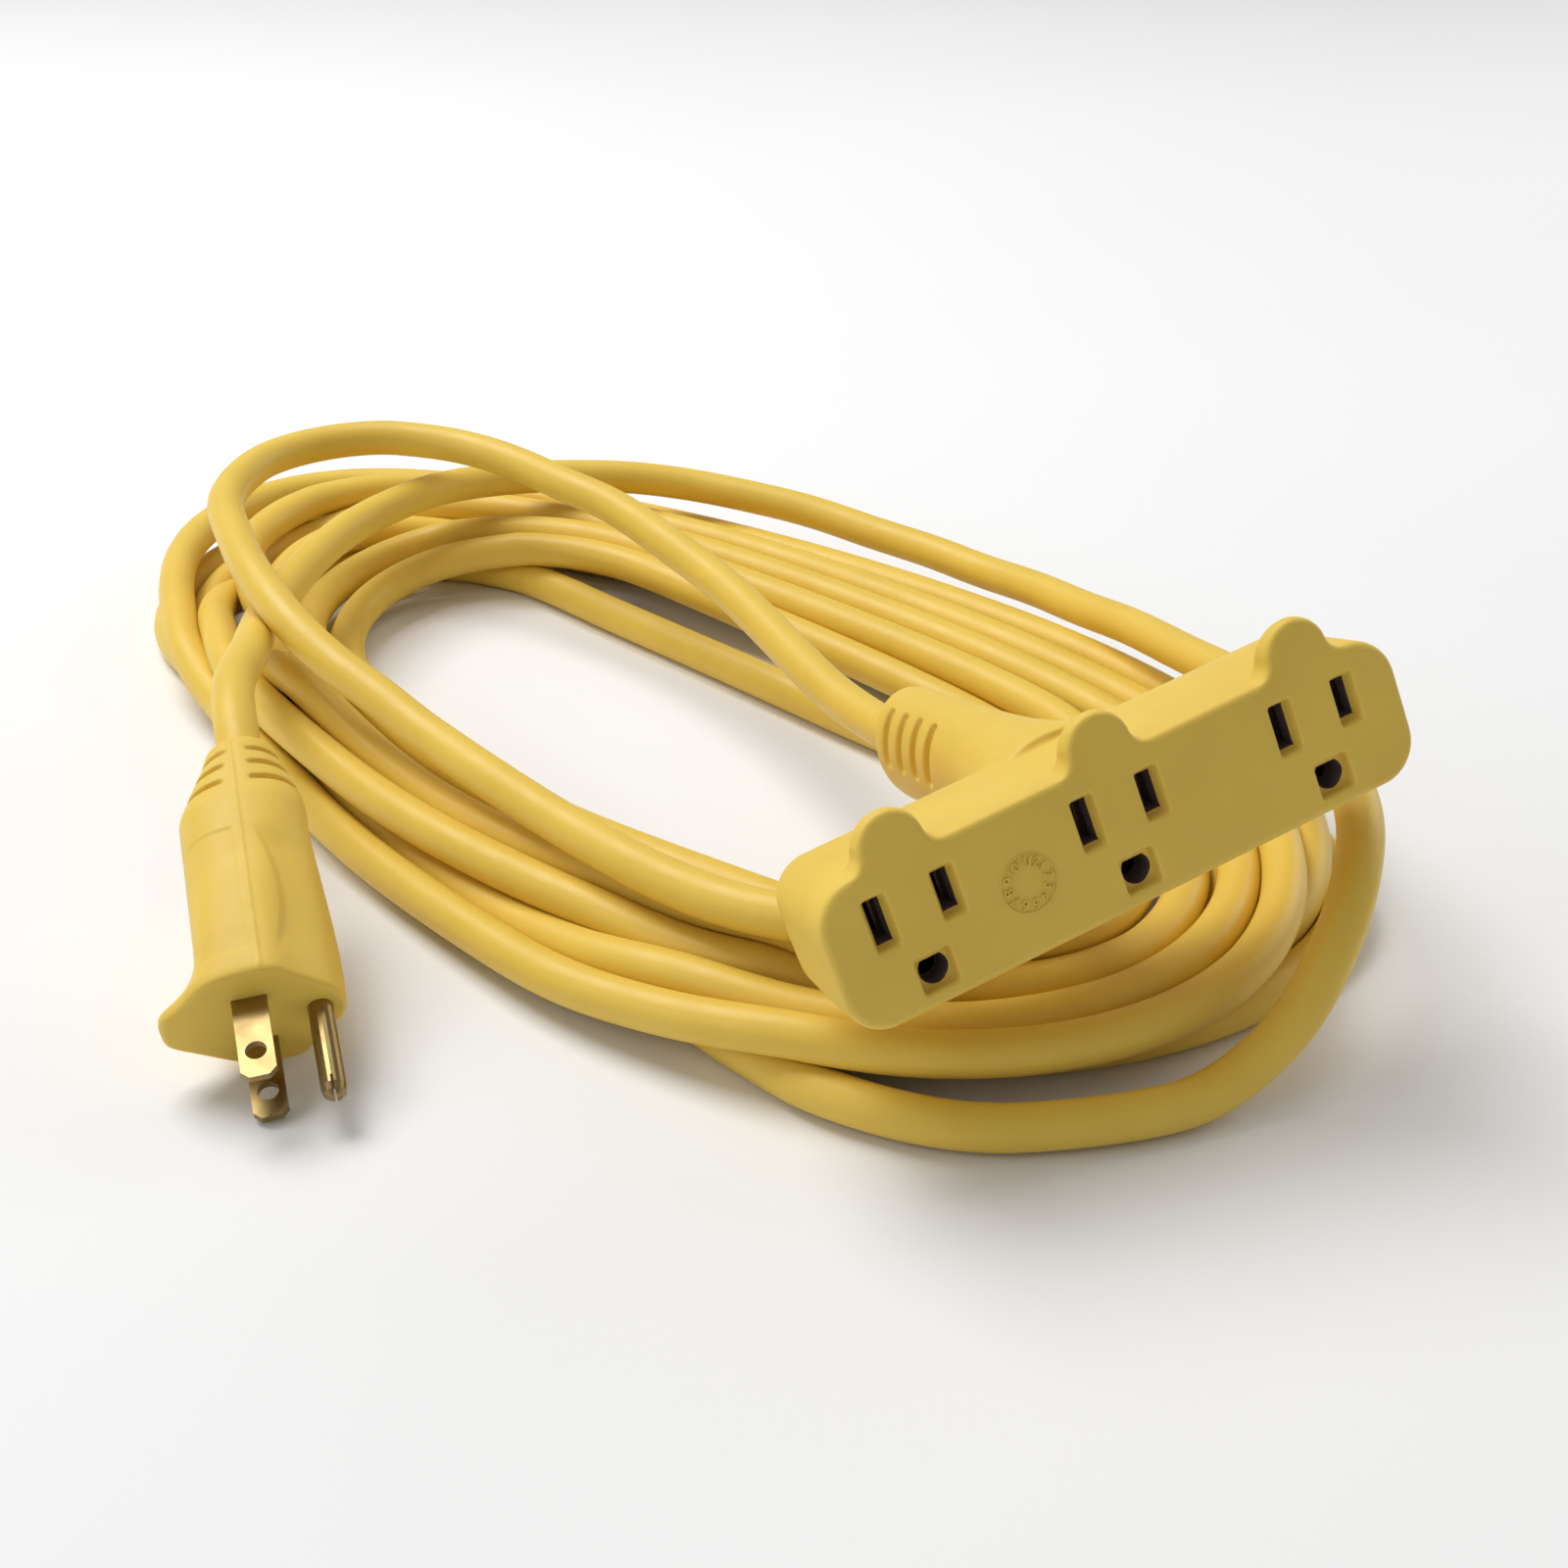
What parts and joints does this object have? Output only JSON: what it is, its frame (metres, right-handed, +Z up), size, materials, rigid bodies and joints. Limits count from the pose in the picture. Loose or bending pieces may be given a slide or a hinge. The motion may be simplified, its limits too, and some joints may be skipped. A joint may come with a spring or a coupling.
{
  "type": "extension cord",
  "caption": "Coiled yellow extension cord with a grounded plug and a T-shaped moulded outlet block resting on the coil.",
  "frame": {"origin": "centre of the outlet block's face, on the flat between the slots and the ground opening of the middle outlet", "axes": "+X along the outlet block in plan, toward its raised right end; +Y from the block's face back toward the coil; +Z up, the coil lying on the plane z = -58 mm"},
  "size_m": [0.2468, 0.3506, 0.0885],
  "materials": {
    "yellow_vinyl": "satin soft vinyl",
    "cord_jacket": "satin soft vinyl",
    "hard_vinyl": "moulded hard vinyl",
    "brass": "bright rolled brass",
    "copper": "bare stranded copper",
    "black_insulation": "satin",
    "white_insulation": "satin",
    "green_insulation": "satin"
  },
  "bodies": {
    "root": {"outlet_overmould": "yellow_vinyl", "contact_carrier_front": "hard_vinyl", "contact_carrier_rear": "hard_vinyl", "neutral_bus": "brass", "hot_bus": "brass", "ground_bus": "brass", "hot_blade": "brass", "neutral_blade": "brass", "ground_pin": "brass", "plug_overmould": "yellow_vinyl", "plug_bridge": "hard_vinyl", "cord_block_end": "cord_jacket", "cord_plug_end": "cord_jacket", "cord_coil": "cord_jacket", "block_jacket_end": "cord_jacket", "block_hot_insulation": "black_insulation", "block_hot_conductor": "copper", "block_neutral_insulation": "white_insulation", "block_neutral_conductor": "copper", "block_ground_insulation": "green_insulation", "block_ground_conductor": "copper", "plug_jacket_end": "cord_jacket", "plug_hot_insulation": "black_insulation", "plug_hot_conductor": "copper", "plug_neutral_insulation": "white_insulation", "plug_neutral_conductor": "copper", "plug_ground_insulation": "green_insulation", "plug_ground_conductor": "copper"}
  },
  "joints": []
}
